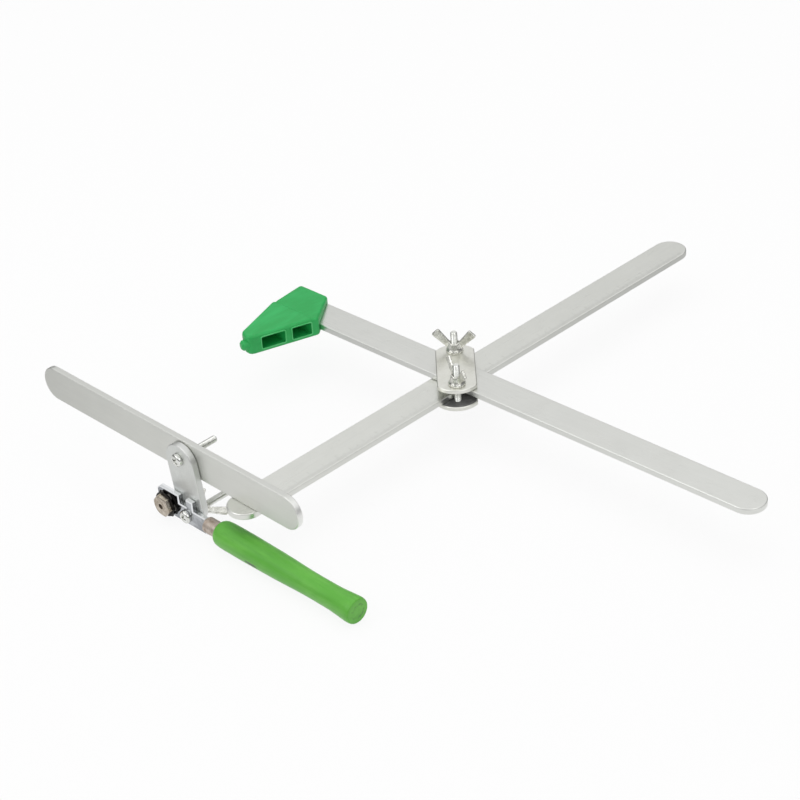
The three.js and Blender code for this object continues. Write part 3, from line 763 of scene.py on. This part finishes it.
def castNut(nodeName, base, axis):
    form = nodeForm(nodeName)
    stand = stood(base, axis)
    for i in range(cast["flutes"]):
        fluteInto(form, 2 * math.pi * i / cast["flutes"], stand)
    mesh = meshFrom(nodeName + "_form", form)
    finish = finishes["wingNut"]
    piece = addPiece(nodeName + "_cast", mesh, finish, nodeBody(nodeName))
    remesh = piece.modifiers.new("skin", "REMESH")
    remesh.mode = "VOXEL"
    remesh.voxel_size = cast["grid"] * mm
    soften = piece.modifiers.new("soften", "SMOOTH")
    soften.iterations = cast["passes"]
    soften.factor = cast["soften"]
    applyModifiers(piece)
    piece.data.materials.clear()
    piece.data.materials.append(finish)
    piece.data.shade_smooth()
    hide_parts(nodeName)


for nodeName, (base, axis) in wingNuts.items():
    castNut(nodeName, base, axis)
print("wing nuts cast")


# threaded bolts with cross recesses, in mm, made along Z with the head below 0
thread = {
    "radius": 2.0, "depth": 0.3, "pitch": 0.7, "around": 32, "perTurn": 8,
    "tip": 0.6, "taper": 0.7, "sharp": 40,
}
panHead = {
    "radius": 3.8, "height": 2.5, "steps": 48,
    "profile": (  # shares of the radius and the height, from the crown to the seat
        (0.3, 1.0), (0.52, 0.985), (0.68, 0.94), (0.8, 0.865), (0.89, 0.76), (0.955, 0.62),
        (0.985, 0.45), (1.0, 0.28), (1.0, 0.06), (0.975, 0.0),
    ),
}
recess = {
    "length": 4.4, "width": 0.95, "depth": 1.5, "lead": 0.5, "mouthShare": 1.1, "floorShare": 0.55,
}
bolts = {  # seat, axis, length under the head, turn of the recess
    "clamp_bolt_front": ((-12.065, -12.531, 0), (0, 0, 1), 26, 20),
    "clamp_bolt_rear": ((12.065, 12.531, 0), (0, 0, 1), 26, 65),
    "swing_bolt": ((-163.4, 45.9, 17.4), (1, 0, 0), 26, 30),
    "cutter_bolt": ((-166.8, 40.753, -15.095), (1, 0, 0), 35, 12),
}


def ringsInto(form, rings):  # closes a stack of rings into a solid
    count = len(rings[0])
    made = [[form.verts.new(point) for point in ring] for ring in rings]
    for low, high in zip(made, made[1:]):
        for i in range(count):
            after = (i + 1) % count
            form.faces.new((low[i], low[after], high[after], high[i]))
    form.faces.new(list(reversed(made[0])))
    form.faces.new(made[-1])


def threadRings(length):
    rings = []
    count = int(length / thread["pitch"] * thread["perTurn"])
    for k in range(count + 1):
        z = length * k / count
        taper = max(0, z - (length - thread["tip"])) * thread["taper"]
        ring = []
        for i in range(thread["around"]):
            share = i / thread["around"]
            phase = (z / thread["pitch"] - share) % 1
            drop = thread["depth"] * (1 - abs(2 * phase - 1))
            radius = thread["radius"] - max(drop, taper)
            angle = 2 * math.pi * share
            ring.append(Vector((radius * math.cos(angle), radius * math.sin(angle), z)) * mm)
        rings.append(ring)
    return rings


def headRings():
    angles = [2 * math.pi * i / panHead["steps"] for i in range(panHead["steps"])]
    rings = []
    for across, along in panHead["profile"]:
        radius, z = panHead["radius"] * across * mm, -panHead["height"] * along * mm
        rings.append([Vector((radius * math.cos(a), radius * math.sin(a), z)) for a in angles])
    return rings


def recessBarInto(form, turn):  # one bar of the cross recess, narrower at its floor
    half, wide = recess["length"] / 2 * mm, recess["width"] / 2 * mm
    mouth = -(panHead["height"] + recess["lead"]) * mm
    floor = -(panHead["height"] - recess["depth"]) * mm
    spin = Matrix.Rotation(math.radians(turn), 4, "Z")
    rings = []
    for z, share in ((mouth, recess["mouthShare"]), (floor, recess["floorShare"])):
        reach = half * share
        corners = ((reach, wide), (-reach, wide), (-reach, -wide), (reach, -wide))
        rings.append([spin @ Vector((x, y, z)) for x, y in corners])
    ringsInto(form, rings)


def filledMesh(name, fill):
    form = bmesh.new()
    fill(form)
    bmesh.ops.recalc_face_normals(form, faces=form.faces)
    return meshFrom(name, form)


def recessedHead(name, turn):
    head = linked(name, filledMesh(name, lambda form: ringsInto(form, headRings())))
    cutters = []
    for quarter in (0, 90):
        mesh = filledMesh(name + "_recess", lambda form: recessBarInto(form, turn + quarter))
        cutter = linked(name + "_recess", mesh)
        cut = head.modifiers.new("recess", "BOOLEAN")
        cut.object = cutter
        cut.operation = "DIFFERENCE"
        cut.solver = "EXACT"
        cutters.append(cutter)
    applyModifiers(head)
    for cutter in cutters:
        bpy.data.objects.remove(cutter)
    return head


def addBolt(nodeName, seat, axis, length, turn):
    head = recessedHead(nodeName + "_head", turn)
    form = bmesh.new()
    form.from_mesh(head.data)
    bpy.data.objects.remove(head)
    ringsInto(form, threadRings(length))
    bmesh.ops.transform(form, matrix=stood(seat, axis), verts=form.verts)
    mesh = meshFrom(nodeName + "_threaded", form)
    smoothed(mesh, thread["sharp"])
    finish = finishes["bolt"]
    piece = addPiece(nodeName + "_threaded", mesh, finish, nodeBody(nodeName))
    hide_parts(nodeName)


for nodeName, (seat, axis, length, turn) in bolts.items():
    addBolt(nodeName, seat, axis, length, turn)
print("bolts threaded")


# a mark at each millimetre of the scale arm, longer at each five and ten, in mm
ruler = {
    "from": -148, "to": 186, "edge": -9.3, "height": 7.2, "lift": 0.015,
    "short": 2.4, "middle": 3.6, "long": 5.2, "line": 0.14,
}


def markReach(step):
    return ruler["long" if step % 10 == 0 else "middle" if step % 5 == 0 else "short"]


def addRuler():
    form = bmesh.new()
    low, half = ruler["edge"], ruler["line"] / 2
    z = (ruler["height"] + ruler["lift"]) * mm
    for step in range(ruler["to"] - ruler["from"] + 1):
        x, high = ruler["from"] + step, low + markReach(step)
        corners = ((x - half, low), (x + half, low), (x + half, high), (x - half, high))
        form.faces.new([form.verts.new((a * mm, b * mm, z)) for a, b in corners])
    mesh = meshFrom("scale_marks", form)
    addPiece("scale_marks", mesh, finishes["ink"], "frame")


addRuler()
print("scale marked")


# floor, backdrop and light, in metres: the floor clears below the camera and fades far away
studio = {
    "floor": 8.0, "drop": 0.0003, "clear": 0.9, "near": 0.3, "far": 1.2, "fade": 0.9,
    "paper": (shade(236, 236, 236), shade(240, 240, 240)), "mirroredPaper": shade(60, 60, 60),
    "bright": 0.92, "dim": 0.6, "brightAt": -0.14, "dimAt": 0.13,  # along the view
    "horizon": 0.5, "sky": 0.72, "skyAt": 0.9,
    "shineLow": 0.2, "shineFrom": 0.22, "shineTo": 0.58,
}


def grey(value):
    return (value, value, value, 1)


def seenBy(f, *rays):
    return [f.node("ShaderNodeLightPath", out=f"Is {ray} Ray") for ray in rays]


def floorWhite():  # paper that the metal mirrors brighter nearby, and that the camera looks through
    f = Finish("floor_white")
    camera, glossy, through = seenBy(f, "Camera", "Glossy", "Transmission")
    here = f.places()
    away = (f.part(here, "X") ** 2 + f.part(here, "Y") ** 2).root()
    away = away.ramped(studio["near"], studio["far"])
    paper = f.mixed(f.noise(here, 6, 3), *studio["paper"])
    paper = f.mixed(glossy, paper, studio["mirroredPaper"])
    matte = f.node("ShaderNodeBsdfDiffuse", None, {"Color": paper})
    glow = f.node("ShaderNodeEmission", None, {"Color": white, "Strength": 1.0})
    clear = f.node("ShaderNodeBsdfTransparent", None, {"Color": white})
    along = f.part(f.places(view["heading"]), "X").ramped(studio["brightAt"], studio["dimAt"])
    mirrored = studio["bright"] - along * (studio["bright"] - studio["dim"])
    mirrored = mirrored * (1 - away * studio["fade"])
    lit = f.node("ShaderNodeMixShader", None, {0: glossy * mirrored, 1: matte, 2: glow})
    share = (camera + through) * studio["clear"]
    surface = f.node("ShaderNodeMixShader", None, {0: share, 1: lit, 2: clear})
    f.node("ShaderNodeOutputMaterial", None, {"Surface": surface})
    return f.material


def addFloor():
    half, z = studio["floor"] / 2, lowest - studio["drop"]
    mesh = bpy.data.meshes.new("floor")
    corners = [(-half, -half, z), (half, -half, z), (half, half, z), (-half, half, z)]
    mesh.from_pydata(corners, [], [(0, 1, 2, 3)])
    floor = linked("floor", mesh)
    mesh.materials.append(floorWhite())


def addSky():
    world = bpy.data.worlds.new("studio")
    scene.world = world
    world.use_nodes = True
    f = Finish(tree=world.node_tree)
    camera, glossy, through = seenBy(f, "Camera", "Glossy", "Transmission")
    height = f.part(f.node("ShaderNodeTexCoord", out="Generated"), "Z")
    risen = height.ramped(0.0, studio["skyAt"])
    soft = f.mixed(risen, grey(studio["horizon"]), grey(studio["sky"]))
    shone = height.ramped(studio["shineFrom"], studio["shineTo"])
    shine = f.mixed(shone, grey(studio["shineLow"]), white)
    tone = f.mixed(camera + through, f.mixed(glossy, soft, shine), white)
    backdrop = f.node("ShaderNodeBackground", None, {"Color": tone, "Strength": 1.0})
    f.node("ShaderNodeOutputWorld", None, {"Surface": backdrop})


lamps = {  # place, size, watts, and whether the metal mirrors it
    "top_box": ((0.1, 0.2, 1.5), 1.6, 8.0, False),
    "left_box": ((-1.3, 0.4, 0.8), 1.0, 3.5, True),
    "front_box": ((-0.3, -1.5, 0.9), 1.0, 3.0, True),
}


def addLamp(name, place, size, watts, mirrored):
    lamp = linked(name, bpy.data.lights.new(name, "AREA"))
    lamp.data.size = size
    lamp.data.energy = watts
    lamp.location = place
    lamp.rotation_euler = (-Vector(place)).to_track_quat("-Z", "Y").to_euler()
    lamp.visible_glossy = mirrored


addFloor()
addSky()
for name, (place, size, watts, mirrored) in lamps.items():
    addLamp(name, place, size, watts, mirrored)
print("studio lit")
